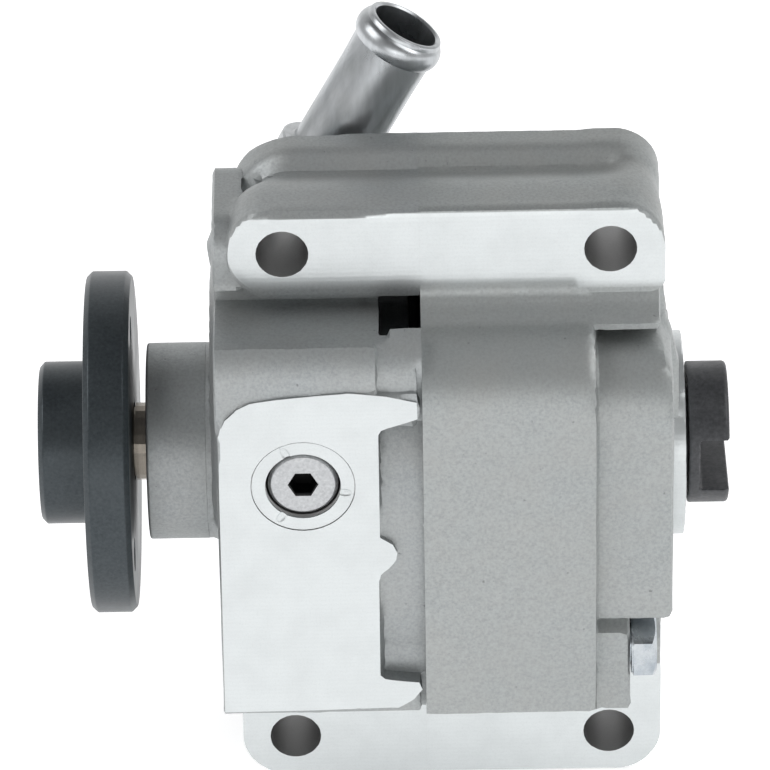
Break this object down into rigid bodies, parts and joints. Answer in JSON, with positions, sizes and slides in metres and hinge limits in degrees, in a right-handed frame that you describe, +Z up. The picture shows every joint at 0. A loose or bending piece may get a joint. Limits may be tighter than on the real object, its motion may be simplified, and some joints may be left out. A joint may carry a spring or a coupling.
{
  "type": "power steering pump",
  "caption": "Hydraulic steering vane pump with a cast aluminium body, a drive hub, a slotted drive dog at the rear, a suction pipe and lug bars above and below.",
  "frame": {"origin": "centre of the shaft's front end face, in the plane of the drive hub's front face", "axes": "+X along the shaft from the hub to the rear, +Z up towards the suction pipe, -Y out of the machined pad and the lug faces"},
  "size_m": [0.1376, 0.077, 0.1527],
  "materials": {
    "cast_front": "as-cast with machined faces",
    "cast_rear": "as-cast with machined faces",
    "hub_steel": "black oxide",
    "shaft_steel": "ground",
    "dog_steel": "black oxide",
    "plated_steel": "zinc plated",
    "plug_steel": "turned",
    "bearing_steel": "polished",
    "bolt_zinc": "zinc plated",
    "ground_steel": "ground",
    "spring_steel": "hardened",
    "bronze": "sintered",
    "seal_rubber": "matte",
    "cage_brass": "pressed"
  },
  "bodies": {
    "housing": {"front_housing": "cast_front", "front_upper_lug": "cast_front", "front_lower_lug": "cast_front", "rear_housing": "cast_rear", "rear_upper_lug": "cast_rear", "rear_lower_lug": "cast_rear", "housing_bolt_1": "bolt_zinc", "housing_bolt_2": "bolt_zinc", "housing_bolt_3": "bolt_zinc", "housing_bolt_4": "bolt_zinc", "housing_seal_ring": "seal_rubber", "shaft_seal": "seal_rubber", "bearing_outer_race": "bearing_steel", "bearing_circlip": "spring_steel", "front_side_plate": "ground_steel", "rear_side_plate": "ground_steel", "cam_ring": "ground_steel", "dowel_pin_1": "ground_steel", "dowel_pin_2": "ground_steel", "plate_spring": "spring_steel", "rear_bush": "bronze", "rear_seal": "seal_rubber", "valve_plug": "plug_steel", "valve_spring": "spring_steel", "inlet_pipe": "plated_steel", "inlet_pipe_seal": "seal_rubber"},
    "shaft": {"drive_shaft": "shaft_steel", "drive_hub": "hub_steel", "bearing_inner_race": "bearing_steel", "rotor": "ground_steel", "rotor_retaining_ring": "spring_steel", "drive_dog": "dog_steel", "dog_pin": "ground_steel"},
    "ball_cage": {"bearing_cage": "cage_brass", "bearing_ball_1": "bearing_steel", "bearing_ball_2": "bearing_steel", "bearing_ball_3": "bearing_steel", "bearing_ball_4": "bearing_steel", "bearing_ball_5": "bearing_steel", "bearing_ball_6": "bearing_steel", "bearing_ball_7": "bearing_steel", "bearing_ball_8": "bearing_steel", "bearing_ball_9": "bearing_steel"},
    "spool": {"valve_spool": "ground_steel"},
    "vane_a": {"vane_01": "ground_steel"},
    "vane_b": {"vane_02": "ground_steel"},
    "vane_c": {"vane_03": "ground_steel"},
    "vane_d": {"vane_04": "ground_steel"},
    "vane_e": {"vane_05": "ground_steel"},
    "vane_f": {"vane_06": "ground_steel"},
    "vane_g": {"vane_07": "ground_steel"},
    "vane_h": {"vane_08": "ground_steel"},
    "vane_i": {"vane_09": "ground_steel"},
    "vane_j": {"vane_10": "ground_steel"}
  },
  "joints": [
    {"name": "shaft_turn", "type": "hinge", "parent": "housing", "child": "shaft", "pos_m": [0, 0, 0], "axis": [1, 0, 0], "continuous": true},
    {"name": "cage_turn", "type": "hinge", "parent": "housing", "child": "ball_cage", "pos_m": [0.0303, 0, 0], "axis": [1, 0, 0], "continuous": true},
    {"name": "spool_slide", "type": "slide", "parent": "housing", "child": "spool", "axis": [0, -1, 0], "range_m": [0, 0.004], "stiffness_N_per_m": 2000, "springref_m": -0.006, "deforming": ["valve_spring"]},
    {"name": "vane_a_slide", "type": "slide", "parent": "shaft", "child": "vane_a", "axis": [0, 0.9511, 0.309], "range_m": [0, 0.0007]},
    {"name": "vane_b_slide", "type": "slide", "parent": "shaft", "child": "vane_b", "axis": [0, 0.5878, 0.809], "range_m": [0, 0.00249]},
    {"name": "vane_c_slide", "type": "slide", "parent": "shaft", "child": "vane_c", "axis": [0, 0, 1], "range_m": [0, 0.0036]},
    {"name": "vane_d_slide", "type": "slide", "parent": "shaft", "child": "vane_d", "axis": [0, -0.5878, 0.809], "range_m": [0, 0.00249]},
    {"name": "vane_e_slide", "type": "slide", "parent": "shaft", "child": "vane_e", "axis": [0, -0.9511, 0.309], "range_m": [0, 0.0007]},
    {"name": "vane_f_slide", "type": "slide", "parent": "shaft", "child": "vane_f", "axis": [0, -0.9511, -0.309], "range_m": [0, 0.0007]},
    {"name": "vane_g_slide", "type": "slide", "parent": "shaft", "child": "vane_g", "axis": [0, -0.5878, -0.809], "range_m": [0, 0.00249]},
    {"name": "vane_h_slide", "type": "slide", "parent": "shaft", "child": "vane_h", "axis": [0, 0, -1], "range_m": [0, 0.0036]},
    {"name": "vane_i_slide", "type": "slide", "parent": "shaft", "child": "vane_i", "axis": [0, 0.5878, -0.809], "range_m": [0, 0.00249]},
    {"name": "vane_j_slide", "type": "slide", "parent": "shaft", "child": "vane_j", "axis": [0, 0.9511, -0.309], "range_m": [0, 0.0007]}
  ],
  "couplings": [
    {"joint": "cage_turn", "follows": "shaft_turn", "ratio": 0.41}
  ]
}
